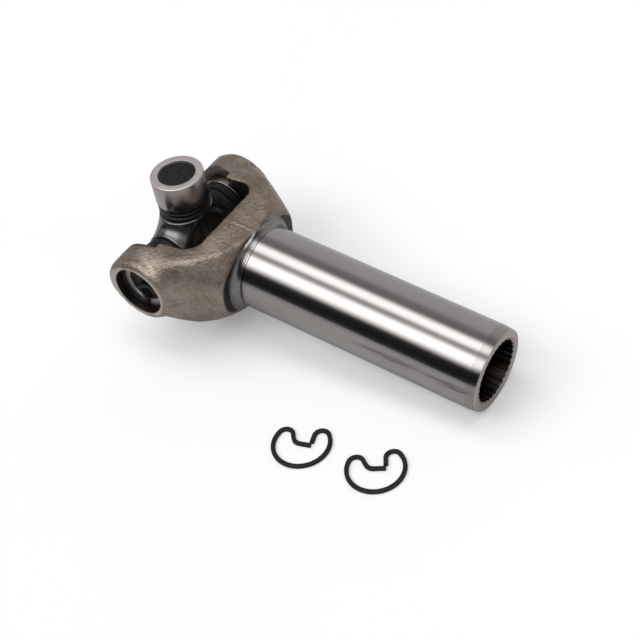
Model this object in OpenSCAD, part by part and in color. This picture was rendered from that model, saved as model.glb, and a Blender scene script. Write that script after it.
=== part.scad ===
// Slip yoke with a universal joint for the front of a car's drive shaft.
//
// A forged yoke with two ears is turned down to a ground barrel whose bore is splined, so that it
// slides on a gearbox's output shaft. A cross with four needle bearing caps sits in it: two caps are
// pressed into the ears and held by snap rings, and two stand free for the mating yoke, whose own
// two snap rings lie loose beside the barrel.
//
// Frame: the origin is the joint's centre, where the cross's two axes meet. +Z is the axis of the
// free caps, +Y is the axis of the ear caps, and the barrel runs towards +X. The joint lies on a
// level surface at z = -cap_reach, on the bottom cap and the barrel's end, so the barrel dips.

/* [Yoke] */
// Outer radius of the ground barrel
barrel_r = 21.43; // [20:0.01:22]
// Distance from the joint's centre to the barrel's splined end
barrel_end = 176.27; // [150:0.01:200]
// Radius of the barrel's end face, inside its bevel
barrel_tip_r = 20.9; // [20:0.1:21]
// Length of the shallow bevel at the barrel's end
tip_bevel = 5.5; // [3:0.5:8]
// Where the forging ends and the turned fillet to the barrel begins
forging_end = 41; // [40:0.5:42]
// Radius of the turned fillet between forging and barrel
hub_fillet = 4; // [3:0.5:5]
// Half the distance over the ears' outer faces
ear_face = 46.56; // [45.5:0.01:48]
// Half the distance between the arms' inner faces
ear_inner = 26.5; // [26:0.5:29]
// Radius of an ear around its bore
ear_r = 18; // [17.5:0.5:19]
// Half the forging's height at the hub
hub_r = 23; // [22.5:0.5:26]
// Where the arms' slope ends and the hub's flat top begins
hub_x = 25; // [23:1:30]
// Depth of the throat between the arms, from the joint's centre
throat = 22; // [21.5:0.5:23]
// Radius in the corners of the throat
throat_corner = 8; // [6:1:9]

/* [Spline] */
// Number of internal spline teeth
spline_teeth = 31; // [28:1:32]
// Radius to the tips of the internal teeth
spline_minor_r = 15.87; // [15.5:0.01:16]
// Radius to the roots between the teeth
spline_major_r = 16.95; // [16.6:0.01:17]
// Where the splines begin inside the barrel
spline_start = 62; // [55:1:80]

/* [Cross and caps] */
// Outer radius of a bearing cap
cap_r = 13.495; // [13.4:0.005:13.6]
// Distance from the joint's centre to the closed end of a cap
cap_reach = 40.88; // [40:0.01:42]
// Length of a bearing cap
cap_length = 17.3; // [16.5:0.1:18]
// Bore radius of a bearing cap, which the needles run in
cap_bore_r = 12.15; // [12:0.01:12.3]
// Thickness of a cap's closed end
cap_end = 3.2; // [2.5:0.1:4]
// Radius of the recess in a cap's closed end
recess_r = 9.54; // [9:0.01:10]
// Depth of that recess
recess_depth = 0.9; // [0.5:0.1:1.5]
// Radius of a trunnion
trunnion_r = 9.77; // [9.7:0.01:9.8]
// Distance from the joint's centre to a trunnion's end
trunnion_reach = 36.4; // [36:0.1:36.4]
// Number of needles in each cap
needle_count = 28; // [24:1:28]
// Radius of a needle
needle_r = 1.175; // [1.1:0.005:1.175]
// Length of a needle
needle_length = 11.4; // [10:0.1:11.4]
// Radius of the cross's arms at the shoulder under a seal
shoulder_r = 12.6; // [12:0.1:13]
// Distance from the joint's centre to the shoulder
shoulder_reach = 19.5; // [19:0.1:20]
// Half the thickness of the cross between its flat sides
cross_half = 11.6; // [11:0.1:12]

/* [Snap rings] */
// Outer radius of a relaxed snap ring
ring_free_r = 14.8; // [14.4:0.1:15.5]
// Outer radius of a snap ring closed into its groove
ring_closed_r = 14.2; // [14.1:0.1:14.3]
// Width of the ring's wire
ring_wire = 2.15; // [2:0.05:2.5]
// Thickness of the ring
ring_thick = 1.55; // [1.4:0.05:1.6]
// Where the first loose ring lies
ring_a_place = [104.6, -65.4]; // [-200:0.1:200]
// Where the second loose ring lies
ring_b_place = [144.4, -62.0]; // [-200:0.1:200]

/* [Hidden] */
$fn = 96;

// The barrel dips until its end rim reaches the level of the bottom cap's end.
dip = asin(cap_reach / norm([barrel_end, barrel_tip_r])) - atan2(barrel_tip_r, barrel_end);

// Turn from +Z to each of the four trunnions' directions.
NEAR = [90, 0, 0];
FAR = [-90, 0, 0];
TOP = [0, 0, 0];
BOTTOM = [180, 0, 0];

// Ear
ear_edge = 3;            // width and depth of the bevel around an ear's outer face
ear_tip_inner = 31;      // half the distance between the ears' inner faces at their round ends
ear_relief_r = 15.6;     // machined relief around the bore, on an ear's inner face
ear_relief = 31;         // half the distance between the two reliefs
bore_lead = 0.4;         // chamfer at the bore's mouth
ring_groove_r = 14.3;
ring_gap = 0.02;         // axial play on each side of an installed ring

// Arms in plan: the side faces leave the ears at arm_start and close in on the hub.
ear_start = 2.5;         // where the arm takes over from the ear's round end
arm_start = 10;
arm_flat = 7;            // half the height of an arm's flat outer side
arm_lean = 0.76;         // lean of the sides above and below it
hub_half = 30;           // half the forging's width at its machined end
blend_r = 51;            // largest distance of the arms' ridges from the barrel's axis
blend_end_r = 29.5;      // and the same at the forging's end
fillet_x = forging_end + hub_fillet;

// Barrel
bore_r = 17.15;          // plain bore between the splines and the plug
plug_r = 17.6;
plug_seat = 25.5;        // shoulder that the plug is pressed against
plug_thick = 1.6;
plug_hole_r = 1;
spline_lead = 0.8;       // chamfer at the splines' mouth

// Bearing, as distances along a trunnion from the joint's centre
cap_mouth = cap_reach - cap_length;
cap_floor = cap_reach - cap_end;
neck_r = 12.85;          // the cap's turned-down mouth, which the seal grips
neck_top = 27;
seal_r = 13.25;
seal_bottom = 22.3;
seal_lip_r = 10.05;
guard_top = 22;
guard_r = 13.1;
washer_thick = cap_floor - trunnion_reach - 0.08;
washer_r = 12;
needle_start = 24.9;
pitch_r = (trunnion_r + cap_bore_r) / 2;
cap_edge = 0.5;          // chamfer at a cap's closed end

// Cross
cross_corner = 8;        // radius of the hollow between two arms
web_half = 8;            // half the thickness of the web there
trunnion_edge = 0.8;

// Snap ring, whose bends follow from its outer radius
lobe_share = 0.266;      // a lobe's radius as a share of the main bend's
lobe_a_angle = 51.8;
lobe_b_angle = 174.3;
leave_a_angle = 193;     // where the wire leaves each lobe for its inner end
leave_b_angle = 28;
near_ring_turn = -163;
far_ring_turn = 60;
ring_b_turn = 15;

module yoke_tilt() {
    rotate([0, dip, 0]) children();
}

// Extrudes a shape drawn in x and z to both sides of the XZ plane.
module slab_y(half) {
    rotate([90, 0, 0]) linear_extrude(2 * half, center = true) children();
}

// Turns a profile drawn as [x, radius] about the barrel's axis.
module turn_x() {
    rotate([0, 90, 0]) rotate([0, 0, 90]) rotate_extrude() rotate(90) mirror([0, 1]) children();
}

// Height of the forging: a round ear that grows along two tangents to the taller, flat hub.
module side_profile() {
    touch = atan2(hub_r, hub_x) + acos(ear_r / norm([hub_x, hub_r]));
    circle(ear_r);
    polygon([
        ear_r * [cos(touch), sin(touch)], [hub_x, hub_r], [fillet_x + 1, hub_r],
        [fillet_x + 1, -hub_r], [hub_x, -hub_r], ear_r * [cos(touch), -sin(touch)]
    ]);
}

// Plan of the forging: two arms around a throat with round corners.
module plan_profile() {
    corner_x = throat - throat_corner;
    corner_y = ear_inner - throat_corner;
    difference() {
        polygon([
            [ear_start, ear_face], [arm_start, ear_face], [forging_end, hub_half], [fillet_x, hub_half],
            [fillet_x, -hub_half], [forging_end, -hub_half], [arm_start, -ear_face], [ear_start, -ear_face]
        ]);
        translate([-ear_r, -ear_inner]) square([ear_r + corner_x, 2 * ear_inner]);
        translate([0, -corner_y]) square([throat, 2 * corner_y]);
        for (side = [-1, 1]) translate([corner_x, side * corner_y]) circle(throat_corner);
    }
}

// The limit that rounds the arms' ridges down to the hub, and the turned face and fillet there.
module ridge_profile() {
    polygon(concat(
        [[-ear_r - 1, 0], [-ear_r - 1, blend_r], [12, blend_r - 2], [22, 41.5], [29, 36], [35, 32]],
        [[forging_end, blend_end_r]],
        [for (turn = [0:15:75]) [fillet_x, barrel_r + hub_fillet] - hub_fillet * [cos(turn), sin(turn)]],
        [[fillet_x, barrel_r], [fillet_x, 0]]
    ));
}

module barrel_profile() {
    polygon([
        [throat + 1, 0], [throat + 1, barrel_r], [barrel_end - tip_bevel, barrel_r],
        [barrel_end, barrel_tip_r], [barrel_end, 0]
    ]);
}

// Height of the arms: their outer sides lean in towards the ridges along the top and the bottom.
module arm_section() {
    top = hub_r + 1;
    ridge_y = ear_face - arm_lean * (top - arm_flat);
    polygon([
        [ear_face, arm_flat], [ridge_y, top], [-ridge_y, top], [-ear_face, arm_flat],
        [-ear_face, -arm_flat], [-ridge_y, -top], [ridge_y, -top], [ear_face, -arm_flat]
    ]);
}

// The round end of an ear, along that ear's own axis.
module ear() {
    translate([0, 0, ear_tip_inner]) cylinder(h = ear_face - ear_edge - ear_tip_inner, r = ear_r);
    translate([0, 0, ear_face - ear_edge])
        cylinder(h = ear_edge, r1 = ear_r, r2 = ear_r - ear_edge + 0.4);
}

// Everything that is bored in one ear, along that ear's own axis.
module ear_bores() {
    cylinder(h = ear_relief, r = ear_relief_r);
    cylinder(h = ear_face + 1, r = cap_r);
    translate([0, 0, cap_reach]) cylinder(h = ring_thick + 2 * ring_gap, r = ring_groove_r);
    translate([0, 0, ear_face - bore_lead]) cylinder(h = 2 * bore_lead, r1 = cap_r, r2 = cap_r + 2 * bore_lead);
}

module spline_section() {
    pitch = 360 / spline_teeth;
    circle(spline_minor_r);
    for (tooth = [0:spline_teeth - 1]) rotate(tooth * pitch) polygon([
        [spline_minor_r - 1, -1], [spline_major_r, -0.62], [spline_major_r, 0.62], [spline_minor_r - 1, 1]
    ]);
}

module slip_yoke() {
    color([0.5, 0.47, 0.44]) yoke_tilt() difference() {
        union() {
            intersection() {
                slab_y(ear_face) side_profile();
                linear_extrude(2 * hub_r + 2, center = true) plan_profile();
                rotate([90, 0, 90]) linear_extrude(2 * forging_end, center = true) arm_section();
                turn_x() ridge_profile();
            }
            for (turn = [NEAR, FAR]) rotate(turn) ear();
            turn_x() barrel_profile();
        }
        for (turn = [NEAR, FAR]) rotate(turn) ear_bores();
        rotate([0, 90, 0]) {
            cylinder(h = plug_seat, r = plug_r);
            cylinder(h = spline_start, r = bore_r);
            translate([0, 0, barrel_end - spline_lead])
                cylinder(h = 2 * spline_lead, r1 = spline_minor_r, r2 = spline_major_r + spline_lead);
            translate([0, 0, spline_start - 1])
                linear_extrude(barrel_end - spline_start + 2) spline_section();
        }
    }
}

// A pressed disc that closes the splined bore, with a small vent in its middle.
module vent_plug() {
    color([0.55, 0.54, 0.52]) yoke_tilt() rotate([0, 90, 0]) translate([0, 0, plug_seat]) difference() {
        mirror([0, 0, 1]) cylinder(h = plug_thick, r = plug_r);
        translate([0, 0, -plug_thick - 1]) cylinder(h = plug_thick + 2, r = plug_hole_r);
        translate([0, 0, -0.6]) cylinder(h = 1, r = plug_r - 4);
    }
}

// The web that fills the corners between the cross's arms, seen along X.
module web_profile() {
    corner = shoulder_r + cross_corner;
    web = corner - 2;
    difference() {
        square(2 * web, center = true);
        for (sy = [-1, 1], sz = [-1, 1]) translate([sy * corner, sz * corner]) {
            circle(cross_corner);
            translate([sy > 0 ? 0 : -10, sz > 0 ? 0 : -10]) square(10);
        }
    }
}

module cross_arm() {
    cylinder(h = shoulder_reach, r = shoulder_r);
    cylinder(h = trunnion_reach - trunnion_edge, r = trunnion_r);
    translate([0, 0, trunnion_reach - trunnion_edge])
        cylinder(h = trunnion_edge, r1 = trunnion_r, r2 = trunnion_r - trunnion_edge);
}

module cross() {
    color([0.16, 0.16, 0.17]) intersection() {
        union() {
            rotate([90, 0, 90]) linear_extrude(2 * web_half, center = true) web_profile();
            for (turn = [NEAR, FAR, TOP, BOTTOM]) rotate(turn) cross_arm();
        }
        cube([2 * cross_half, 2 * cap_reach, 2 * cap_reach], center = true);
    }
}

// A drawn and ground cup that runs on its needles.
module bearing_cap(turn) {
    color([0.6, 0.58, 0.56]) rotate(turn) difference() {
        union() {
            translate([0, 0, cap_mouth]) cylinder(h = 4, r = neck_r);
            translate([0, 0, neck_top]) cylinder(h = cap_reach - cap_edge - neck_top, r = cap_r);
            translate([0, 0, cap_reach - cap_edge]) cylinder(h = cap_edge, r1 = cap_r, r2 = cap_r - cap_edge);
        }
        translate([0, 0, cap_mouth - 1]) cylinder(h = cap_floor - cap_mouth + 1, r = cap_bore_r);
        translate([0, 0, cap_reach - recess_depth]) cylinder(h = 2, r = recess_r);
    }
}

module needles(turn) {
    color([0.75, 0.75, 0.76]) rotate(turn) for (needle = [0:needle_count - 1])
        rotate(needle * 360 / needle_count) translate([pitch_r, 0, needle_start])
            cylinder(h = needle_length, r = needle_r, $fn = 24);
}

// The plastic washer that a trunnion's end turns against.
module thrust_washer(turn) {
    color([0.85, 0.83, 0.76]) rotate(turn) translate([0, 0, cap_floor - washer_thick])
        cylinder(h = washer_thick, r = washer_r);
}

// The rubber seal that grips the cap's mouth and wipes the trunnion.
module seal(turn) {
    color([0.1, 0.1, 0.11]) rotate(turn) difference() {
        translate([0, 0, seal_bottom]) cylinder(h = neck_top - seal_bottom, r = seal_r);
        translate([0, 0, cap_mouth]) cylinder(h = cap_length, r = neck_r);
        cylinder(h = cap_reach, r = seal_lip_r);
    }
}

// The guard pressed onto the trunnion against its shoulder.
module dust_guard(turn) {
    color([0.13, 0.13, 0.15]) rotate(turn) translate([0, 0, shoulder_reach]) difference() {
        cylinder(h = guard_top - shoulder_reach, r = guard_r);
        translate([0, 0, -1]) cylinder(h = guard_top - shoulder_reach + 2, r = trunnion_r);
    }
}

// A bend of the ring's wire about centre, between two angles. It runs on a little at each end,
// so that the pieces of wire join.
module bend(centre, r, from, to) {
    start = from - 2;
    sweep = to - from + 4;
    steps = ceil(sweep / 30);
    translate(centre) intersection() {
        difference() {
            circle(r + ring_wire / 2);
            circle(r - ring_wire / 2);
        }
        polygon(concat([[0, 0]], [for (i = [0:steps]) let(turn = start + sweep * i / steps)
            3 * r * [cos(turn), sin(turn)]]));
    }
}

// A straight piece of the wire between two points.
module straight(from, to) {
    run = to - from;
    translate(from) rotate(atan2(run[1], run[0])) translate([0, -ring_wire / 2]) square([norm(run), ring_wire]);
}

// One bent snap ring: a main bend, a lobe at each side of its opening, and two ends that
// fold inwards and meet.
module snap_ring(outer_r) {
    main_r = outer_r - ring_wire / 2;
    lobe_r = lobe_share * main_r;
    reach = main_r - lobe_r;
    lobe_a = reach * [cos(lobe_a_angle), sin(lobe_a_angle)];
    lobe_b = reach * [cos(lobe_b_angle), sin(lobe_b_angle)];
    size = main_r / 13.9;
    end_a = size * [4.7, 1.0];
    fold = size * [-3.4, -1.1];
    leave_a = lobe_a + lobe_r * [cos(leave_a_angle), sin(leave_a_angle)];
    leave_b = lobe_b + lobe_r * [cos(leave_b_angle), sin(leave_b_angle)];
    linear_extrude(ring_thick) {
        bend([0, 0], main_r, lobe_b_angle, 360 + lobe_a_angle);
        bend(lobe_a, lobe_r, lobe_a_angle, leave_a_angle);
        bend(lobe_b, lobe_r, leave_b_angle, lobe_b_angle);
        straight(leave_a, end_a + [-0.5, ring_wire / 2 + 0.5]);
        straight(leave_b, fold);
        straight(fold, end_a);
        translate(fold) circle(ring_wire / 2);
    }
}

module installed_ring(turn, spin) {
    color([0.2, 0.2, 0.21]) rotate(turn) translate([0, 0, cap_reach + ring_gap]) rotate(spin)
        snap_ring(ring_closed_r);
}

module loose_ring(place, spin) {
    color([0.17, 0.17, 0.17]) translate([place[0], place[1], -cap_reach]) rotate(spin)
        snap_ring(ring_free_r);
}

slip_yoke();
vent_plug();
cross();
bearing_cap(NEAR);  // near_ear_cap
bearing_cap(FAR);  // far_ear_cap
bearing_cap(TOP);  // top_cap
bearing_cap(BOTTOM);  // bottom_cap
needles(NEAR);  // near_ear_needles
needles(FAR);  // far_ear_needles
needles(TOP);  // top_needles
needles(BOTTOM);  // bottom_needles
thrust_washer(NEAR);  // near_ear_washer
thrust_washer(FAR);  // far_ear_washer
thrust_washer(TOP);  // top_washer
thrust_washer(BOTTOM);  // bottom_washer
seal(NEAR);  // near_ear_seal
seal(FAR);  // far_ear_seal
seal(TOP);  // top_seal
seal(BOTTOM);  // bottom_seal
dust_guard(NEAR);  // near_ear_guard
dust_guard(FAR);  // far_ear_guard
dust_guard(TOP);  // top_guard
dust_guard(BOTTOM);  // bottom_guard
installed_ring(NEAR, near_ring_turn);  // near_ear_ring
installed_ring(FAR, far_ring_turn);  // far_ear_ring
loose_ring(ring_a_place, 0);  // loose_ring_a
loose_ring(ring_b_place, ring_b_turn);  // loose_ring_b
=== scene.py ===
import math

import bpy
import numpy as np
from mathutils import Euler, Matrix, Vector


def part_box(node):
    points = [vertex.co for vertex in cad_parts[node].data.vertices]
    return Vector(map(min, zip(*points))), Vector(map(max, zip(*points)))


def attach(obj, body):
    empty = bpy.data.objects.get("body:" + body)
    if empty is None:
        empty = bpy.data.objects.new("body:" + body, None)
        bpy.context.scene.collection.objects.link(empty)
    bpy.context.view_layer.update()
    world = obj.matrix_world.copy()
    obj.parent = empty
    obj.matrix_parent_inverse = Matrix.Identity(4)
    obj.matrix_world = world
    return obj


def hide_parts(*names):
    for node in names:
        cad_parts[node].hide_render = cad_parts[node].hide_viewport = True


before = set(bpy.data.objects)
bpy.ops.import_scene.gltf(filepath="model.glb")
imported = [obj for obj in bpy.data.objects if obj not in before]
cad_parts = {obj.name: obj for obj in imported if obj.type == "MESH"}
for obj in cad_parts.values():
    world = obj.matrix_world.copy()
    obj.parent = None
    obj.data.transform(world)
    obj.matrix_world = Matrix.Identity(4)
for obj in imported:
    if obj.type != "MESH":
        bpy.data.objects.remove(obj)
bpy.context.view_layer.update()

MM = 0.001


# ---- Studio -------------------------------------------------------------------------------------
# A pale table under two long soft boxes that run along the barrel, one overhead and one to the
# front, with a dark room behind the camera. A ground cylinder shows each of them as a band.

TABLE_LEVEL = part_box("bottom_cap")[0].z

# Angle about the barrel in degrees, from the horizon on the camera's side up and over the top, and
# the brightness seen there. The soft boxes are the two runs above 2.
ROOM = [
    (-180, 0.56), (-90, 0.6), (-30, 0.5), (-6, 0.06), (4, 0.015), (26, 0.02), (31, 0.12), (37, 1.3),
    (44, 2.6), (54, 3.0), (63, 2.6), (69, 0.9), (74, 0.4), (79, 0.9), (85, 2.5), (97, 2.7),
    (103, 1.6), (109, 0.32), (119, 0.28), (129, 0.38), (139, 0.6), (155, 0.62), (180, 0.6),
]
BRIGHTEST = 3.0

# The boxes end where a direction leans this far along the barrel, each end over its own softness,
# and the room past them keeps a share of their light.
BOX_ENDS = ((-0.63, 0.2), (0.42, 0.3))
PAST_ENDS = 0.22

LENS = 86.57
SENSOR = 36
CAMERA_PLACE = (0.4468, -0.4052, 0.5093)
CAMERA_TURN = (44.920, 8.781, 33.998)

FLOOR_HALF = 15000
TABLE_GAP = 0.05
# Where the table's painted shade begins in front of the object, and the distance it fades in over,
# in millimetres.
FRONT_EDGE = -340
FRONT_FADE = 420


class Value:
    """One output of a shader node. Arithmetic on it adds Math nodes to the same tree."""

    def __init__(self, socket):
        self.socket = socket

    def math(self, operation, *others, clamp=False):
        """A Math node that takes this value first and then the others."""
        node = self.socket.id_data.nodes.new("ShaderNodeMath")
        node.operation = operation
        node.use_clamp = clamp
        for slot, operand in zip(node.inputs, (self, *others)):
            if isinstance(operand, Value):
                self.socket.id_data.links.new(operand.socket, slot)
            else:
                slot.default_value = operand
        return Value(node.outputs[0])

    def __add__(self, other):
        return self.math("ADD", other)

    def __sub__(self, other):
        return self.math("SUBTRACT", other)

    def __rsub__(self, other):
        return self.math("MULTIPLY_ADD", -1, other)

    def __mul__(self, other):
        return self.math("MULTIPLY", other)

    def __truediv__(self, other):
        return self.math("DIVIDE", other)

    def __pow__(self, other):
        return self.math("POWER", other)

    def __abs__(self):
        return self.math("ABSOLUTE")

    __radd__ = __add__
    __rmul__ = __mul__

    def above(self, edge, softness):
        """0 below the edge and 1 above it, changing over the softness."""
        return (self - edge).math("MULTIPLY_ADD", 1 / softness, 0.5, clamp=True)

    def larger(self, other):
        """The larger of two numbers."""
        return self.math("MAXIMUM", other)

    def hypot(self, other):
        """The length of a step of self along one axis and other along another."""
        return (self * self + other * other) ** 0.5


class Finish:
    """The nodes of one material or of the room's light."""

    def __init__(self, tree):
        self.tree = tree

    def add(self, kind, settings=None, inputs=None, output=0):
        """Adds a node, with its settings first and then the values or links of its sockets."""
        node = self.tree.nodes.new("ShaderNode" + kind)
        for name, setting in (settings or {}).items():
            if name == "stops":
                ramp = node.color_ramp
                while len(ramp.elements) < len(setting):
                    ramp.elements.new(1)
                for element, (place, colour) in zip(ramp.elements, setting):
                    element.position = place
                    element.color = (*colour, 1)
            else:
                setattr(node, name, setting)
        for name, given in (inputs or {}).items():
            if isinstance(given, Value):
                self.tree.links.new(given.socket, node.inputs[name])
            elif hasattr(given, "__len__") and node.inputs[name].type == "RGBA":
                node.inputs[name].default_value = (*given, 1)
            else:
                node.inputs[name].default_value = given
        return Value(node.outputs[output]) if node.outputs else None

    def point(self):
        """The point's place in its own piece, in millimetres."""
        metres = self.add("TexCoord", output=3)
        return self.add("VectorMath", {"operation": "SCALE"}, {"Vector": metres, "Scale": 1 / MM})

    def axes(self, vector):
        """The x, y and z of a vector."""
        split = self.add("SeparateXYZ", inputs={"Vector": vector})
        return [Value(socket) for socket in split.socket.node.outputs]

    def mix(self, share, low, high):
        """A colour between two colours."""
        return self.add("Mix", {"data_type": "RGBA"}, {0: share, 6: low, 7: high}, output=2)

    def noise(self, point, size, detail=3.0, roughness=0.55, stretch=(1, 1, 1)):
        """Cloudy numbers around 0.5, whose lumps are about size millimetres across."""
        scaled = self.add(
            "VectorMath", {"operation": "MULTIPLY"},
            {0: point, 1: tuple(1 / (size * s) for s in stretch)},
        )
        return self.add("TexNoise", inputs={
            "Vector": scaled, "Scale": 1.0, "Detail": detail, "Roughness": roughness,
        })

    def bump(self, height, depth):
        """A normal bent by a height of 0 to 1, which stands for depth millimetres."""
        return self.add("Bump", inputs={"Height": height, "Strength": 1.0, "Distance": depth * MM})


def material(name):
    """A material with nothing in it yet, and its nodes."""
    blank = bpy.data.materials.new(name)
    blank.use_nodes = True
    blank.node_tree.nodes.clear()
    return blank, Finish(blank.node_tree)


def surface(finish, **inputs):
    """The shader at the end of a material. Its sockets are named with _ for a space."""
    named = {name.replace("_", " "): given for name, given in inputs.items()}
    shader = finish.add("BsdfPrincipled", inputs=named)
    finish.add("OutputMaterial", inputs={"Surface": shader})


camera = bpy.data.objects.new("camera", bpy.data.cameras.new("camera"))
camera.data.lens = LENS
camera.data.sensor_width = SENSOR
camera.data.clip_end = 100
camera.location = CAMERA_PLACE
camera.rotation_euler = Euler([math.radians(a) for a in CAMERA_TURN])
bpy.context.scene.collection.objects.link(camera)
bpy.context.scene.camera = camera
bpy.context.scene.view_settings.view_transform = "Standard"

world = bpy.data.worlds.new("studio")
world.use_nodes = True
world.node_tree.nodes.clear()
bpy.context.scene.world = world
room = Finish(world.node_tree)
along, across, up = room.axes(room.add("TexCoord"))
around = up.math("ARCTAN2", 0 - across)
bands = room.add(
    "ValToRGB",
    {"stops": [((angle + 180) / 360, (light / BRIGHTEST,) * 3) for angle, light in ROOM]},
    {"Fac": around / (2 * math.pi) + 0.5},
)
(low_end, low_soft), (high_end, high_soft) = BOX_ENDS
between_ends = along.above(low_end, low_soft) * (1 - along.above(high_end, high_soft))
box_light = PAST_ENDS + (1 - PAST_ENDS) * between_ends
lit = room.add("Background", inputs={"Color": bands, "Strength": BRIGHTEST * box_light})
seen = room.add("Background", inputs={"Color": (1, 1, 1), "Strength": 1.0})
shown = room.add("MixShader", inputs={0: room.add("LightPath"), 1: lit, 2: seen})
room.add("OutputWorld", inputs={"Surface": shown})


def made(name, points, faces, turn=None, smooth_below=32):
    """A mesh object from points in millimetres, smooth except at edges sharper than an angle."""
    mesh = bpy.data.meshes.new(name)
    mesh.from_pydata((np.asarray(points, float) * MM).tolist(), [], [tuple(f) for f in faces])
    mesh.validate()
    mesh.shade_smooth()
    mesh.set_sharp_from_angle(angle=math.radians(smooth_below))
    piece = bpy.data.objects.new(name, mesh)
    bpy.context.scene.collection.objects.link(piece)
    if turn is not None:
        piece.matrix_world = turn
    return piece


table_z = TABLE_LEVEL / MM - TABLE_GAP
floor = made("floor", [
    (x * FLOOR_HALF, y * FLOOR_HALF, table_z) for x, y in ((-1, -1), (1, -1), (1, 1), (-1, 1))
], [(0, 1, 2, 3)])
floor_paint, paper = material("table_paper")
point = paper.point()
x, y, z = paper.axes(point)
fibres = paper.noise(point, 220)
# The table is painted nearly black from a line in front of the object toward the camera, in what
# the object reflects and is lit by: painted shade for the light falling off toward the dark room.
behind_table_shade = y.above(FRONT_EDGE, FRONT_FADE)
pale = paper.mix(fibres, (0.64, 0.64, 0.64), (0.67, 0.67, 0.67))
table = paper.add("BsdfDiffuse", inputs={"Color": paper.mix(behind_table_shade, (0.02,) * 3, pale)})
# The sheet that the camera sees is a lighter copy of the table that also glows a little: painted
# light that washes out the shadows on it.
white = paper.mix(fibres, (0.86, 0.86, 0.86), (0.9, 0.9, 0.9))
sheet = paper.add("BsdfDiffuse", inputs={"Color": white})
painted_glow = paper.add("Emission", inputs={"Color": (1, 1, 1), "Strength": 0.2})
lit_sheet = paper.add("AddShader", inputs={0: sheet, 1: painted_glow})
shown = paper.add("MixShader", inputs={0: paper.add("LightPath"), 1: table, 2: lit_sheet})
paper.add("OutputMaterial", inputs={"Surface": shown})
floor.data.materials.append(floor_paint)


# ---- Forged yoke --------------------------------------------------------------------------------
# A drop forging in plain carbon steel, shot blasted, with a flash line where its dies met. Two arms
# grow from the hub to round ears, whose faces and bores are machined, and the hub is turned down
# in a fillet to the barrel. Raised marks on its side are left out.

BARREL_R = 21.43
BARREL_END = 176.27
BARREL_TIP_R = 20.9
CAP_REACH = 40.88

# The joint's own frame stands upright, and the yoke leans down until its barrel's end rests on
# the table beside the lower cap.
DIP = math.asin(CAP_REACH / math.hypot(BARREL_END, BARREL_TIP_R)) - math.atan2(
    BARREL_TIP_R, BARREL_END
)
LYING = Matrix.Rotation(DIP, 4, "Y")

EAR_R = 18.2
EAR_FACE = 46.56
EAR_END = 11.0
EAR_GAP = 26.6
EAR_EDGE = 4.2
EAR_BLEND = 1.6
EAR_BORE_R = 13.5
BORE_EDGE = 0.9
RELIEF_R = 15.8
RELIEF = 31.0
RELIEF_EDGE = 0.7
TIP_START = 2.5
TIP_EDGE = 0.8
TIP_DARK = 3.5
FLARE_END = 7.0
FLARE = 0.2
THROAT = 22.0
THROAT_CORNER = 8.0
THROAT_EDGE = 1.3

HUB_X = 25.0
HUB_R = 22.8
HUB_FACE = 41.0
HUB_HALF = 30.0
HUB_EDGE = 1.5
HUB_FILLET = 4.0
RIDGE_HALF = 38.0
RIDGE_START = 5.0
DRAFT = 3.2

# The arms' edges are softer near the ears than at the hub: places along x, and roundings.
ARM_EDGE = ([12, 30], [2.6, 1.1])

# Seen from the side, the outline leaves the round ear at this angle, in radians from x, on the
# straight line that meets the hub's flat top.
TOUCH = math.atan2(HUB_R, HUB_X) + math.acos(EAR_R / math.hypot(HUB_X, HUB_R))

BORE_R = 17.15
PLUG_R = 17.6
PLUG_SEAT = 25.5
MACHINED_EDGE = 0.6
# Beyond this radius the hub's turned face is painted near black, as painted shade.
FILLET_SHADE_R = BARREL_R + 4

DIE_SHIFT = 0.4
WAVE = 0.09
FLASH_HALF = 0.5
FLASH_HEIGHT = 0.35
FLASH_FROM = 15.0

# The size of the grid's cells, and the step that a surface's slope is taken over.
GRAIN = 0.6
NUDGE = 0.05


def round_max(a, b, k):
    """The larger of two distances, with the corner between them rounded over k."""
    return np.maximum(a, b) + np.maximum(k - np.abs(a - b), 0) ** 2 / (4 * k)


def round_min(a, b, k):
    """The smaller of two distances, rounded in the same way."""
    return -round_max(-a, -b, k)


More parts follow.
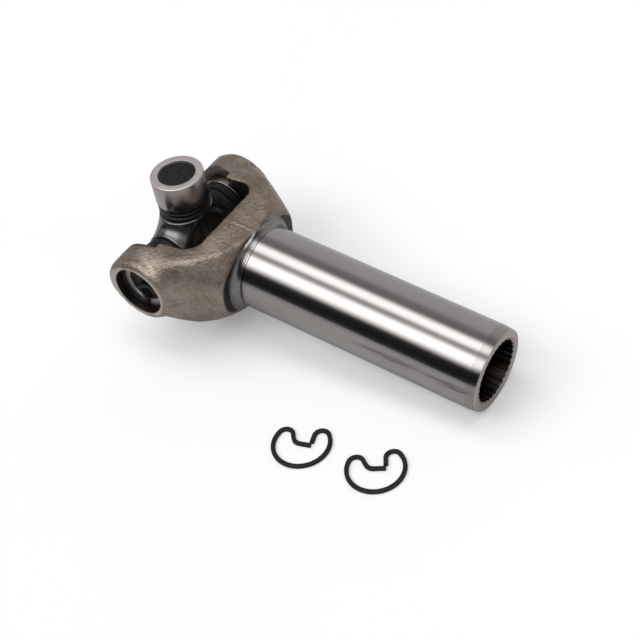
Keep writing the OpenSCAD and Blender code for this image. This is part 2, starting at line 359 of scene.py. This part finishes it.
def skin(distance, low, high, step):
    """The surface where a distance is zero, as points and four-sided faces: one point for each
    cell of the grid that the surface passes through, moved onto the surface afterwards."""
    low = np.asarray(low, float)
    axes = [np.arange(a, b + step, step) for a, b in zip(low, high)]
    field = distance(*np.meshgrid(*axes, indexing="ij"))
    inside = field < 0
    shape = np.array(field.shape) - 1
    total = np.zeros((*shape, 3))
    count = np.zeros(shape)
    cell = [slice(0, n) for n in shape]
    for axis in range(3):
        one, two = [b for b in range(3) if b != axis]
        for da in (0, 1):
            for db in (0, 1):
                near = list(cell)
                near[one] = slice(da, shape[one] + da)
                near[two] = slice(db, shape[two] + db)
                far = list(near)
                far[axis] = slice(1, shape[axis] + 1)
                a, b = field[tuple(near)], field[tuple(far)]
                crossed = (a < 0) != (b < 0)
                share = np.where(crossed, a / np.where(crossed, a - b, 1), 0)
                total[..., axis] += share
                total[..., one] += crossed * da
                total[..., two] += crossed * db
                count += crossed
    used = count > 0
    number = np.full(shape, -1)
    number[used] = np.arange(used.sum())
    points = low + step * (np.argwhere(used) + total[used] / count[used][:, None])
    faces = []
    for axis in range(3):
        one, two = (axis + 1) % 3, (axis + 2) % 3
        a = np.take(inside, range(field.shape[axis] - 1), axis)
        b = np.take(inside, range(1, field.shape[axis]), axis)
        for way in (True, False):
            at = np.argwhere((a == way) & (b != way))
            within = (at[:, one] > 0) & (at[:, two] > 0)
            within &= (at[:, one] < shape[one]) & (at[:, two] < shape[two])
            at = at[within]
            corners = []
            for d1, d2 in ((1, 1), (0, 1), (0, 0), (1, 0)):
                c = at.copy()
                c[:, one] -= d1
                c[:, two] -= d2
                corners.append(number[tuple(c.T)])
            quad = np.stack(corners, 1)
            faces.append(quad if way else quad[:, ::-1])
    for _ in range(3):
        here = distance(*points.T)
        slope = np.stack([
            distance(*(points + shift).T) - distance(*(points - shift).T)
            for shift in NUDGE * np.eye(3)
        ], 1) / (2 * NUDGE)
        move = slope * (here / np.maximum((slope ** 2).sum(1), 0.25))[:, None]
        far = np.maximum(np.linalg.norm(move, axis=1) / (0.5 * step), 1)
        points = points - move / far[:, None]
    return points, np.concatenate(faces)


def side_height(x):
    """Half the forging's height: a round ear that grows along a tangent to the flat hub."""
    return np.minimum((EAR_R - x * math.cos(TOUCH)) / math.sin(TOUCH), HUB_R)


def side_distance(x, z):
    """Distance to the forging's outline as seen from the side, the same above and below."""
    z = np.abs(z)
    along = x * math.sin(TOUCH) - z * math.cos(TOUCH)
    slope = x * math.cos(TOUCH) + z * math.sin(TOUCH) - EAR_R
    return round_max(np.where(along < 0, np.hypot(x, z) - EAR_R, slope), z - HUB_R, HUB_EDGE)


def arm_half(x, z):
    """Half the forging's width at a place: full at mid height, and drawn in toward the ridges
    along the top and bottom, which come together in an oval over the hub."""
    middle = np.interp(x, [EAR_END, HUB_FACE, HUB_FACE + 10], [EAR_FACE, HUB_HALF, HUB_HALF - 2])
    oval = np.clip((x - RIDGE_START) / (HUB_FACE - RIDGE_START), 0, 1)
    ridge = RIDGE_HALF * np.sqrt(np.maximum(1 - oval * oval, 0.0004))
    share = np.minimum(np.abs(z) / side_height(np.maximum(x, 2)), 1.15)
    return middle - (middle - ridge) * share ** DRAFT


def arm_distance(x, y, z):
    """Distance to the arms' outer faces, found from their width and its slope."""
    reach = 0.4
    here = y - arm_half(x, z)
    dx = (arm_half(x + reach, z) - arm_half(x - reach, z)) / (2 * reach)
    dz = (arm_half(x, z + reach) - arm_half(x, z - reach)) / (2 * reach)
    return here / np.sqrt(1 + dx * dx + dz * dz)


def throat_distance(x, half):
    """Distance to the space between the arms, which opens a little toward the ears and ends in
    rounded corners."""
    gap = EAR_GAP + FLARE * np.maximum(FLARE_END - x, 0)
    corner_x, corner_y = x - THROAT + THROAT_CORNER, half - gap + THROAT_CORNER
    outside = np.hypot(np.maximum(corner_x, 0), np.maximum(corner_y, 0))
    return outside + np.minimum(np.maximum(corner_x, corner_y), 0) - THROAT_CORNER


def turned_distance(x, around_barrel):
    """Distance to what the lathe cuts away: the hub's face and the fillet down to the barrel."""
    face = np.maximum(HUB_FACE - x, BARREL_R + HUB_FILLET - around_barrel)
    from_centre = np.hypot(x - HUB_FACE - HUB_FILLET, around_barrel - BARREL_R - HUB_FILLET)
    fillet = from_centre - HUB_FILLET
    beyond = np.maximum(HUB_FACE + HUB_FILLET - x, BARREL_R - around_barrel)
    return np.minimum(np.minimum(face, fillet), beyond)


def flash_line(x, y, z):
    """The ragged fin along the top and bottom where the two dies met."""
    ragged = y + 0.25 * np.sin(2.1 * x) + 0.15 * np.sin(5.3 * x + 1)
    fin = np.exp(-((ragged / FLASH_HALF) ** 2)) * np.clip((x - THROAT) / 2, 0, 1)
    return FLASH_HEIGHT * fin * (np.abs(z) > FLASH_FROM)


def die_waves(x, y, z):
    """The slight unevenness that a worn die leaves."""
    return (
        np.sin(0.31 * x + 0.23 * y + 1.1) * np.sin(0.27 * y - 0.36 * z + 0.4)
        + 0.6 * np.sin(0.61 * x - 0.43 * z + 2.0) * np.sin(0.52 * y + 0.47 * x)
        + 0.4 * np.sin(1.1 * z + 0.9 * y) * np.sin(1.23 * x - 0.8 * y + 0.7)
    )


def yoke_distance(x, y, z):
    """Distance to the forging's surface in millimetres, negative in the steel."""
    half = np.abs(y)
    around_bore = np.hypot(x, z)
    around_barrel = np.hypot(y, z)
    arms = round_max(
        side_distance(x, z - DIE_SHIFT), arm_distance(x, half, z - DIE_SHIFT),
        np.interp(x, *ARM_EDGE),
    )
    boss = round_max(around_bore - EAR_R, half - EAR_FACE, EAR_EDGE)
    body = round_min(arms, boss, EAR_BLEND)
    body = round_max(body, -throat_distance(x, half), THROAT_EDGE)
    tips = np.maximum(x - TIP_START, half - RELIEF)
    body = round_max(body, -tips, TIP_EDGE)
    body = body + WAVE * die_waves(x, y, z) - flash_line(x, y, z)
    body = round_max(body, -turned_distance(x, around_barrel), MACHINED_EDGE)
    body = np.maximum(body, x - HUB_FACE - HUB_FILLET + 0.15)
    body = round_max(body, half - EAR_FACE, MACHINED_EDGE)
    relief = np.maximum(around_bore - RELIEF_R, half - RELIEF - 0.4)
    body = round_max(body, -relief, RELIEF_EDGE)
    body = round_max(body, EAR_BORE_R - around_bore, BORE_EDGE)
    plug_bore = np.maximum(around_barrel - PLUG_R, x - PLUG_SEAT)
    body = round_max(body, -plug_bore, MACHINED_EDGE)
    return round_max(body, BORE_R - around_barrel, MACHINED_EDGE)


points, faces = skin(yoke_distance, (-20, -48, -26.5), (HUB_FACE + 6.5, 48, 26.5), GRAIN)
forging = made("forged_yoke", points, faces, LYING, smooth_below=60)

forged, steel = material("forged_skin")
point = steel.point()
x, y, z = steel.axes(point)
half = abs(y)
from_bore = x.hypot(z)
from_axis = y.hypot(z)
machined = half.above(EAR_FACE - 0.25, 0.2).larger(x.above(HUB_FACE - 0.15, 0.2))
bores = (1 - from_bore.above(RELIEF_R + 0.1, 0.3)) * (1 - half.above(EAR_FACE - 0.35, 0.2))
clouds = steel.noise(point, 16, detail=5)
blotches = steel.noise(point, 5, detail=6, roughness=0.7)
pits = steel.noise(point, 2.4, detail=5, roughness=0.65)
flecks = steel.noise(point, 1.2, detail=4, roughness=0.65)
brown = steel.mix(clouds.above(0.5, 0.3), (0.27, 0.21, 0.165), (0.45, 0.375, 0.315))
brown = steel.mix(blotches.above(0.6, 0.2) * 0.65, brown, (0.18, 0.14, 0.11))
brown = steel.mix((1 - flecks.above(0.4, 0.14)) * 0.5, brown, (0.12, 0.095, 0.075))
brown = steel.mix(flecks.above(0.62, 0.12) * 0.4, brown, (0.66, 0.58, 0.5))
# The walls between the arms, and the ears' inner faces near the tips, are painted near black:
# painted shade in the throat.
gap = EAR_GAP + (FLARE_END - x).larger(0) * FLARE + (1 - x.above(TIP_START, 0.5)) * TIP_DARK
corner_x, corner_y = x - THROAT + THROAT_CORNER, half - gap + THROAT_CORNER
into_corner = corner_x.larger(0).hypot(corner_y.larger(0))
painted_throat_shade = 1 - into_corner.above(THROAT_CORNER + 0.3, 0.5)
brown = steel.mix(painted_throat_shade * 0.8, brown, (0.05, 0.042, 0.035))
# The turned fillet is painted darker than the other cut faces, and the hub's face beyond a radius
# near black: painted shade where the fillet faces away from the lights.
fillet_shade = steel.mix(blotches, (0.16, 0.155, 0.15), (0.34, 0.33, 0.32))
fillet_shade = steel.mix(from_axis.above(FILLET_SHADE_R, 0.5), fillet_shade, (0.035, 0.033, 0.03))
on_hub = x.above(HUB_FACE - 0.1, 0.2)
cut = steel.mix(steel.noise(point, 3, detail=4), (0.54, 0.49, 0.45), (0.7, 0.64, 0.6))
cut = steel.mix(on_hub, cut, fillet_shade)
# The ear bores and their reliefs are painted near black: painted shade inside the holes.
cut = steel.mix(bores, cut, (0.045, 0.04, 0.037))
shine = machined.larger(bores)
lathe_rings = (from_axis * 14).math("SINE") * on_hub
grain = (1 - shine) * (pits * 0.6 + flecks * 0.4) + shine * (flecks * 0.04 + lathe_rings * 0.02)
surface(
    steel,
    Base_Color=steel.mix(shine, brown, cut),
    Metallic=0.95,
    Roughness=(1 - shine) * (0.33 + (blotches - 0.5) * 0.3) + shine * (0.46 - on_hub * 0.28),
    Normal=steel.bump(grain, 0.62),
)
forging.data.materials.append(forged)
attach(forging, "yoke")
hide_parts("slip_yoke")


# ---- Barrel -------------------------------------------------------------------------------------
# The yoke's long sleeve: its outside is ground to run in the gearbox's seal and bush, its end is
# turned with a long shallow bevel, and 31 spline teeth are broached inside it.

TEETH = 31
TOOTH_TIP_R = 15.87
TOOTH_ROOT_R = 16.95
ROOT_HALF_WIDTH = 0.62
MOUTH_HALF_WIDTH = 0.82
TIP_BEVEL = 5.5
SPLINE_START = 62.0
SPLINE_LEAD = 0.3
LEAD_R = TOOTH_ROOT_R + SPLINE_LEAD
MID_SPLINE = 40.0
UNDER_HUB = 2.0


def turned_tube(name, rows, angles, turn, **options):
    """A closed ring of rows about z. A row is a place along z and a radius, or one radius for
    each angle."""
    points = []
    for along, radius in rows:
        radius = np.broadcast_to(radius, angles.shape)
        height = np.full(angles.shape, along)
        points += zip(radius * np.cos(angles), radius * np.sin(angles), height)
    n = len(angles)
    faces = []
    for r in range(len(rows)):
        here, after = r * n, (r + 1) % len(rows) * n
        faces += [(here + i, here + (i + 1) % n, after + (i + 1) % n, after + i) for i in range(n)]
    return made(name, points, faces, turn, **options)


pitch = 2 * math.pi / TEETH
root = ROOT_HALF_WIDTH / TOOTH_ROOT_R
mouth = MOUTH_HALF_WIDTH / TOOTH_TIP_R
across_tooth = [-mouth, -root, 0, root, mouth, *np.linspace(mouth, pitch - mouth, 5)[1:-1]]
in_space = [0, 1, 1, 1, 0, 0, 0, 0]
angles = np.array([tooth * pitch + a for tooth in range(TEETH) for a in across_tooth])
spline = np.where(np.tile(in_space, TEETH), TOOTH_ROOT_R, TOOTH_TIP_R)
rows = [(HUB_FACE + UNDER_HUB, BARREL_R)]
rows += [(z, BARREL_R) for z in np.linspace(HUB_FACE + 6, BARREL_END - TIP_BEVEL - 0.2, 14)]
rows += [(BARREL_END - back, radius) for back, radius in [
    (TIP_BEVEL - 0.1, BARREL_R - 0.01), (2.4, BARREL_TIP_R + 0.22), (0.7, BARREL_TIP_R + 0.04),
    (0.25, BARREL_TIP_R - 0.12), (0, BARREL_TIP_R - 0.5), (0, 19.2), (0, LEAD_R + 0.1),
    (0.1, LEAD_R), (SPLINE_LEAD, TOOTH_ROOT_R + 0.01),
    (SPLINE_LEAD + 0.02, np.maximum(spline, TOOTH_TIP_R + 0.2)), (SPLINE_LEAD + 0.3, spline),
    (MID_SPLINE, spline), (BARREL_END - SPLINE_START, spline),
    (BARREL_END - SPLINE_START + 0.5, BORE_R), (BARREL_END - HUB_FACE - UNDER_HUB, BORE_R),
]]
ALONG_BARREL = LYING @ Matrix.Rotation(math.pi / 2, 4, "Y")
barrel = turned_tube("barrel", rows, angles, ALONG_BARREL, smooth_below=24)
ground, steel = material("ground_barrel")
point = steel.point()
x, y, z = steel.axes(point)
radius = x.hypot(y)
end = z.above(BARREL_END - SPLINE_LEAD - 0.15, 0.12)
inside = (1 - radius.above(LEAD_R + 0.25, 0.3)) * (1 - end)
bevel = z.above(BARREL_END - TIP_BEVEL + 0.2, 0.3) * (1 - end) * (1 - inside)
polish = steel.noise(point, 0.5, detail=3, stretch=(14, 14, 0.5))
patches = steel.noise(point, 9, detail=4, stretch=(1, 1, 3))
streaks = steel.noise(point, 1.6, detail=5, roughness=0.7, stretch=(1, 1, 9))
grey = steel.mix(patches, (0.37, 0.352, 0.345), (0.44, 0.42, 0.41))
grey = steel.mix(streaks.above(0.6, 0.2) * 0.3, grey, (0.31, 0.29, 0.28))
# A thin line where the barrel meets the fillet is painted near black: painted shade for a small
# groove that the mesh leaves out.
groove_shade = 1 - abs(z - (HUB_FACE + HUB_FILLET + 0.35)).above(0.28, 0.12)
grey = steel.mix(groove_shade * 0.85, grey, (0.03, 0.028, 0.027))
# The long bevel is painted a little darker: painted shade for the dimmer light that it reflects.
grey = steel.mix(bevel * 0.3, grey, (0.2, 0.19, 0.185))
grey = steel.mix(end, grey, (0.56, 0.5, 0.475))
# The spline teeth are painted dark, and darker still deeper into the bore: painted shade inside the
# bore.
teeth = steel.mix(streaks, (0.05, 0.042, 0.036), (0.13, 0.11, 0.095))
teeth = steel.mix(z.above(BARREL_END - 7, 9), (0.02, 0.016, 0.014), teeth)
grey = steel.mix(inside, grey, teeth)
face_rings = (radius * 11).math("SINE") * end
worn = (polish - 0.5) * 0.1 + (patches - 0.5) * 0.1
surface(
    steel,
    Base_Color=grey,
    Metallic=1.0,
    Roughness=0.2 + worn + end * 0.25 + inside * 0.2 + bevel * 0.03,
    Anisotropic=0.75,
    Anisotropic_Rotation=0.25,
    Normal=steel.bump(polish * (1 - end) * 0.25 + face_rings * 0.2, 0.006),
)
barrel.data.materials.append(ground)
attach(barrel, "yoke")
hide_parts("slip_yoke")


# ---- Vent plug ----------------------------------------------------------------------------------
# A disc pressed from sheet steel with a dished middle and a small vent hole, driven in from the
# throat against a shoulder, so that grease stays in the splined bore.

PLUG_THICK = 1.6
PLUG_TOP = PLUG_SEAT - PLUG_THICK
DISH = 0.6
DISH_R = 7.0
RIM_R = 10.0
VENT_R = 1.0

# A corner counts as straight when half the angle at it is over this, in radians.
STRAIGHT = 1.55


def softened(corners, radius, steps=4):
    """A closed outline with each corner rounded. A corner may give its own radius."""
    outline = []
    n = len(corners)
    for i, corner in enumerate(corners):
        at = Vector(corner[:2])
        back = Vector(corners[i - 1][:2]) - at
        ahead = Vector(corners[(i + 1) % n][:2]) - at
        r = corner[2] if len(corner) > 2 else radius
        half = back.angle(ahead) / 2 if back.length and ahead.length else math.pi / 2
        cut = min(r / math.tan(half), 0.49 * back.length, 0.49 * ahead.length) if r else 0
        if cut < 0.005 or half > STRAIGHT:
            outline.append(tuple(at))
            continue
        start, stop = at + back.normalized() * cut, at + ahead.normalized() * cut
        for s in range(steps + 1):
            t = s / steps
            outline.append(tuple(start * (1 - t) ** 2 + at * 2 * t * (1 - t) + stop * t * t))
    return outline


def turned(name, outline, turn=None, count=144, **options):
    """A closed outline of radii and heights, turned about z. Points on the axis become one."""
    points, index = [], []
    for radius, height in outline:
        if radius < 0.001:
            index.append([len(points)] * count)
            points.append((0, 0, height))
        else:
            index.append(list(range(len(points), len(points) + count)))
            points += [
                (radius * math.cos(a), radius * math.sin(a), height)
                for a in (2 * math.pi * k / count for k in range(count))
            ]
    faces = []
    for row, after in zip(index, index[1:] + index[:1]):
        for k in range(count):
            corners = [row[k], row[(k + 1) % count], after[(k + 1) % count], after[k]]
            face = [c for i, c in enumerate(corners) if c != corners[i - 1]]
            if len(set(face)) > 2:
                faces.append(face)
    return made(name, points, faces, turn, **options)


plug = turned("vent_disc", softened([
    (VENT_R, PLUG_TOP - DISH), (DISH_R, PLUG_TOP - DISH), (RIM_R, PLUG_TOP), (PLUG_R, PLUG_TOP),
    (PLUG_R, PLUG_SEAT), (RIM_R, PLUG_SEAT), (DISH_R, PLUG_SEAT - DISH), (VENT_R, PLUG_SEAT - DISH),
], 0.4), ALONG_BARREL)
pressed, steel = material("pressed_plug")
point = steel.point()
stain = steel.noise(point, 4, detail=5)
surface(
    steel,
    Base_Color=steel.mix(stain, (0.2, 0.18, 0.16), (0.36, 0.34, 0.31)),
    Metallic=0.95,
    Roughness=0.3 + stain * 0.25,
    Normal=steel.bump(steel.noise(point, 0.6), 0.03),
)
plug.data.materials.append(pressed)
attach(plug, "yoke")
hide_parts("vent_plug")


# ---- Cross --------------------------------------------------------------------------------------
# The spider between the two yokes: a forging in case hardening steel with a dark oiled skin. Its
# four arms flow into a round flat boss on each side, and their trunnions are ground.

SHOULDER_R = 13.1
SHOULDER = 19.5
TRUNNION_R = 9.77
TRUNNION = 36.4
PAD_FRONT = 9.0
PAD_BACK = 12.2
PAD_R = 13.6
ARM_BLEND = 13.0
ARM_SINK = 0.6
ARM_RISE = 0.8


def cross_distance(x, y, z):
    """Distance to the cross's surface: four blended arms, a flat pad on each side and the pins."""
    along_y = np.maximum(np.hypot(x, z) - SHOULDER_R, np.abs(y) - SHOULDER)
    along_z = np.maximum(np.hypot(x, y) - SHOULDER_R, np.abs(z) - SHOULDER)
    arms = round_min(along_y, along_z, ARM_BLEND)
    arms = np.maximum(arms, np.maximum(np.abs(y), np.abs(z)) - SHOULDER)
    from_middle = np.hypot(y, z)
    grown = ARM_RISE * np.maximum(from_middle - PAD_R - 1, 0) - ARM_SINK
    arms = round_max(arms, np.maximum(x - PAD_FRONT - grown, -x - PAD_BACK - grown), 1.6)
    pad = round_max(from_middle - PAD_R, np.maximum(x - PAD_FRONT, -x - PAD_BACK), 1.2)
    body = round_min(arms, pad, 0.8)
    pins_y = np.maximum(np.hypot(x, z) - TRUNNION_R, np.abs(y) - TRUNNION)
    pins_z = np.maximum(np.hypot(x, y) - TRUNNION_R, np.abs(z) - TRUNNION)
    return round_min(body, np.minimum(pins_y, pins_z), 0.6)


points, faces = skin(cross_distance, (-14, -38, -38), (14, 38, 38), GRAIN)
spider = made("cross_forging", points, faces, smooth_below=60)
oiled, steel = material("oiled_cross")
point = steel.point()
clouds = steel.noise(point, 7, detail=4)
pits = steel.noise(point, 0.8, detail=3)
surface(
    steel,
    Base_Color=steel.mix(clouds, (0.12, 0.118, 0.114), (0.22, 0.215, 0.208)),
    Metallic=0.9,
    Roughness=0.2 + clouds * 0.1,
    Coat_Weight=0.25,
    Coat_Roughness=0.12,
    Normal=steel.bump(clouds * 0.6 + pits * 0.4, 0.05),
)
spider.data.materials.append(oiled)
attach(spider, "cross")
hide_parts("cross")


# ---- Trunnion guards ----------------------------------------------------------------------------
# A nitrile ring pressed on each trunnion against its shoulder. It throws dirt off the seal that
# turns above it.

TURNS = {
    "near_ear": Matrix.Rotation(math.pi / 2, 4, "X"),
    "far_ear": Matrix.Rotation(-math.pi / 2, 4, "X"),
    "top": Matrix.Identity(4),
    "bottom": Matrix.Rotation(math.pi, 4, "X"),
}
HOLDERS = {"near_ear": "yoke", "far_ear": "yoke", "top": "top_bearing", "bottom": "bottom_bearing"}
GUARD_R = 13.1
GUARD_TOP = 22.0
GUARD_RIM_R = 11.6

guard_rubber, rubber = material("guard_rubber")
point = rubber.point()
bloom = rubber.noise(point, 4, detail=4)
surface(
    rubber,
    Base_Color=rubber.mix(bloom, (0.008, 0.009, 0.011), (0.02, 0.022, 0.028)),
    Roughness=0.3 + bloom * 0.14,
    Specular_IOR_Level=0.3,
    Normal=rubber.bump(rubber.noise(point, 0.5), 0.02),
)
for end_name, turn in TURNS.items():
    guard = turned(end_name + "_dust_guard", softened([
        (TRUNNION_R, SHOULDER), (GUARD_R - 0.8, SHOULDER), (GUARD_R, SHOULDER + 0.9),
        (GUARD_R, GUARD_TOP - 0.6), (GUARD_R - 0.7, GUARD_TOP), (GUARD_RIM_R, GUARD_TOP),
        (GUARD_RIM_R - 0.3, GUARD_TOP - 0.5), (TRUNNION_R, GUARD_TOP - 0.5),
    ], 0.35), turn)
    guard.data.materials.append(guard_rubber)
    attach(guard, "cross")
    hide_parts(end_name + "_guard")


# ---- Bearing caps -------------------------------------------------------------------------------
# Cups drawn from sheet and case hardened, with the outside and the end ground bright around a
# recess that keeps its dark scale. Needles and a thrust washer sit inside, out of sight.

CAP_R = 13.495
CAP_BORE_R = 12.15
CAP_MOUTH = 23.58
CAP_FLOOR = 37.68
NECK_R = 12.85
NECK_TOP = 27.0
RECESS_R = 9.54
RECESS = 0.9
RECESS_FLOOR = CAP_REACH - RECESS

cap_finish, steel = material("ground_cap")
point = steel.point()
x, y, z = steel.axes(point)
from_axis = x.hypot(y)
recess = (1 - from_axis.above(RECESS_R - 0.15, 0.35)) * z.above(CAP_REACH - 2, 0.2)
scale_marks = steel.noise(point, 1.6, detail=5, roughness=0.7)
smear = steel.noise(point, 6, detail=4)
lines = steel.noise(point, 0.35, detail=2, stretch=(30, 30, 1))
end_lines = steel.noise(point, 0.4, detail=2, stretch=(1, 24, 1))
on_end = z.above(CAP_REACH - 0.4, 0.3)
bright = steel.mix(smear, (0.4, 0.365, 0.35), (0.5, 0.465, 0.45))
bright = steel.mix(on_end, bright, steel.mix(smear, (0.62, 0.57, 0.555), (0.72, 0.665, 0.65)))
dark = steel.mix(scale_marks.above(0.55, 0.2), (0.02, 0.019, 0.02), (0.05, 0.047, 0.047))
worn = (lines - 0.5) * 0.1 + (smear - 0.5) * 0.1
scratches = lines * (1 - on_end) * 0.4 + end_lines * on_end * 0.4
surface(
    steel,
    Base_Color=steel.mix(recess, bright, dark),
    Metallic=1 - recess * 0.35,
    Roughness=0.24 + worn + on_end * 0.24 + recess * 0.04,
    Normal=steel.bump(scratches + recess * scale_marks, 0.02),
)
for end_name, turn in TURNS.items():
    cap = turned(end_name + "_cup", softened([
        (CAP_BORE_R, CAP_MOUTH), (NECK_R, CAP_MOUTH), (NECK_R, NECK_TOP), (CAP_R, NECK_TOP, 0.3),
        (CAP_R, CAP_REACH, 0.75), (RECESS_R + 0.15, CAP_REACH, 0.2),
        (RECESS_R - 0.25, RECESS_FLOOR, 0.35), (3.0, RECESS_FLOOR, 1), (0, RECESS_FLOOR - 0.25, 0),
        (0, CAP_FLOOR, 0), (CAP_BORE_R, CAP_FLOOR),
    ], 0.15), turn, count=192)
    cap.data.materials.append(cap_finish)
    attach(cap, HOLDERS[end_name])
    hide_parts(end_name + "_cap")


# ---- Cap seals ----------------------------------------------------------------------------------
# A moulded rubber collar snapped over each cap's mouth, with two ribs outside and a lip that wipes
# the trunnion.

SEAL_R = 13.25
SEAL_BOTTOM = 22.3
LIP_R = 10.05
LOWER_RIB = 24.1
UPPER_RIB = 25.2
RIB = 0.35
SNUG = 0.02

seal_finish, rubber = material("seal_rubber")
point = rubber.point()
bloom = rubber.noise(point, 3, detail=4)
surface(
    rubber,
    Base_Color=rubber.mix(bloom, (0.006, 0.006, 0.006), (0.016, 0.016, 0.017)),
    Roughness=0.26 + bloom * 0.14,
    Specular_IOR_Level=0.28,
    Normal=rubber.bump(rubber.noise(point, 0.45), 0.02),
)
for end_name, turn in TURNS.items():
    collar = turned(end_name + "_collar", softened([
        (LIP_R, SEAL_BOTTOM + 0.5), (SEAL_R - 0.9, SEAL_BOTTOM), (SEAL_R, SEAL_BOTTOM + 0.5),
        (SEAL_R, LOWER_RIB), (SEAL_R - RIB, LOWER_RIB + 0.3), (SEAL_R - RIB, UPPER_RIB - 0.3),
        (SEAL_R, UPPER_RIB), (SEAL_R, NECK_TOP - 0.4), (SEAL_R - 0.3, NECK_TOP - SNUG),
        (NECK_R + SNUG, NECK_TOP - SNUG), (NECK_R + SNUG, CAP_MOUTH - 0.03),
        (LIP_R, CAP_MOUTH - 0.03),
    ], 0.22), turn)
    collar.data.materials.append(seal_finish)
    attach(collar, HOLDERS[end_name])
    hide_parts(end_name + "_seal")


# ---- Needles and thrust washers -----------------------------------------------------------------
# Polished rollers stand side by side in each cap, and a nylon disc lies between its floor and the
# trunnion's end.

needle_finish, steel = material("polished_needles")
point = steel.point()
surface(
    steel,
    Base_Color=steel.mix(steel.noise(point, 2), (0.7, 0.7, 0.71), (0.8, 0.8, 0.81)),
    Metallic=1.0,
    Roughness=0.08 + steel.noise(point, 0.5) * 0.08,
)
washer_finish, nylon = material("washer_nylon")
point = nylon.point()
surface(
    nylon,
    Base_Color=nylon.mix(nylon.noise(point, 3), (0.74, 0.71, 0.62), (0.84, 0.82, 0.74)),
    Roughness=0.42 + nylon.noise(point, 1) * 0.15,
    Normal=nylon.bump(nylon.noise(point, 0.4), 0.01),
)
for end_name in TURNS:
    for part, finish in (("_needles", needle_finish), ("_washer", washer_finish)):
        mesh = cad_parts[end_name + part].data
        mesh.materials.clear()
        mesh.materials.append(finish)


# ---- Snap rings ---------------------------------------------------------------------------------
# Rings bent from flat spring wire and phosphated black: a main bend, a lobe at each side of the
# opening, and two ends that fold inwards and meet. Two hold the ear caps and two lie loose.

WIRE = 2.15
THICK = 1.55
WIRE_EDGE = 0.38
FREE_R = 14.8
CLOSED_R = 14.2
LOBE_SHARE = 0.266
LOBE_A, LOBE_B = math.radians(51.8), math.radians(174.3)
LEAVE_A, LEAVE_B = math.radians(193), math.radians(28)
DRAWN_AT = 13.9
FOLD_CUT = 2.6
FOLD = (-3.4, -1.1)
INNER_END = (4.7, 1.0)
OUTER_END = (-0.5, 0.5 + WIRE / 2)
RING_REST = 0.02

# Each loose ring's place on the table, its turn in degrees and the body that carries it, and each
# fitted ring's cap and turn.
LOOSE = {
    "loose_ring_a": ((104.6, -65.4), 0.0, "ring_a"),
    "loose_ring_b": ((144.4, -62.0), 15.0, "ring_b"),
}
FITTED = {"near_ear_ring": ("near_ear", -163.0), "far_ear_ring": ("far_ear", 60.0)}


def toward(angle):
    """A step of one millimetre in a direction."""
    return Vector((math.cos(angle), math.sin(angle)))


def bend(centre, r, start, stop, step=math.radians(5)):
    """Points along an arc from one angle to another."""
    count = max(2, int(abs(stop - start) / step))
    return [centre + r * toward(a) for a in np.linspace(start, stop, count + 1)]


def ring_path(outer_r):
    """The middle line of a ring's wire, from the end inside its opening round to the other."""
    main_r = outer_r - WIRE / 2
    lobe_r = LOBE_SHARE * main_r
    size = main_r / DRAWN_AT
    lobe_a = (main_r - lobe_r) * toward(LOBE_A)
    lobe_b = (main_r - lobe_r) * toward(LOBE_B)
    fold, end_a = size * Vector(FOLD), size * Vector(INNER_END)
    leave = lobe_b + lobe_r * toward(LEAVE_B)
    start = fold + FOLD_CUT * (end_a - fold).normalized()
    stop = fold + FOLD_CUT * (leave - fold).normalized()
    path = [end_a]
    path += [start.lerp(fold, t).lerp(fold.lerp(stop, t), t) for t in np.linspace(0, 1, 8)]
    path += bend(lobe_b, lobe_r, LEAVE_B, LOBE_B)
    path += bend(Vector((0, 0)), main_r, LOBE_B, 2 * math.pi + LOBE_A)[1:]
    path += bend(lobe_a, lobe_r, LOBE_A, LEAVE_A)[1:]
    path += [end_a + Vector(OUTER_END)]
    return path


def wire(name, path, turn):
    """A flat wire with rounded edges along a path, with its lower side at z = 0."""
    section = softened([
        (-WIRE / 2, 0), (WIRE / 2, 0), (WIRE / 2, THICK), (-WIRE / 2, THICK)
    ], WIRE_EDGE, steps=3)
    points = []
    for i, here in enumerate(path):
        ahead = (path[min(i + 1, len(path) - 1)] - path[max(i - 1, 0)]).normalized()
        points += [(*(here + Vector((-ahead.y, ahead.x)) * across), up) for across, up in section]
    n = len(section)
    faces = []
    for here in range(0, (len(path) - 1) * n, n):
        after = here + n
        faces += [(here + i, here + (i + 1) % n, after + (i + 1) % n, after + i) for i in range(n)]
    faces += [tuple(reversed(range(n))), tuple(range(after, after + n))]
    return made(name, points, faces, turn, smooth_below=50)


phosphate, steel = material("black_phosphate")
point = steel.point()
crystals = steel.noise(point, 0.35, detail=3)
wear = steel.noise(point, 5, detail=5)
surface(
    steel,
    Base_Color=steel.mix(wear.above(0.58, 0.2) * 0.5, (0.009, 0.009, 0.01), (0.026, 0.026, 0.027)),
    Metallic=0.35,
    Roughness=0.5 + (wear - 0.5) * 0.3,
    Normal=steel.bump(crystals, 0.03),
)
snap_rings = []
for name, (place, turn, body) in LOOSE.items():
    lying = Matrix.Translation(MM * Vector((*place, -CAP_REACH)))
    lying = lying @ Matrix.Rotation(math.radians(turn), 4, "Z")
    snap_rings.append((name, lying, FREE_R, body))
for name, (ear, turn) in FITTED.items():
    on_cap = TURNS[ear] @ Matrix.Translation(MM * Vector((0, 0, CAP_REACH + RING_REST)))
    on_cap = on_cap @ Matrix.Rotation(math.radians(turn), 4, "Z")
    snap_rings.append((name, on_cap, CLOSED_R, "yoke"))
for name, turn, outer_r, body in snap_rings:
    ring = wire(name + "_wire", ring_path(outer_r), turn)
    ring.data.materials.append(phosphate)
    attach(ring, body)
    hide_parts(name)
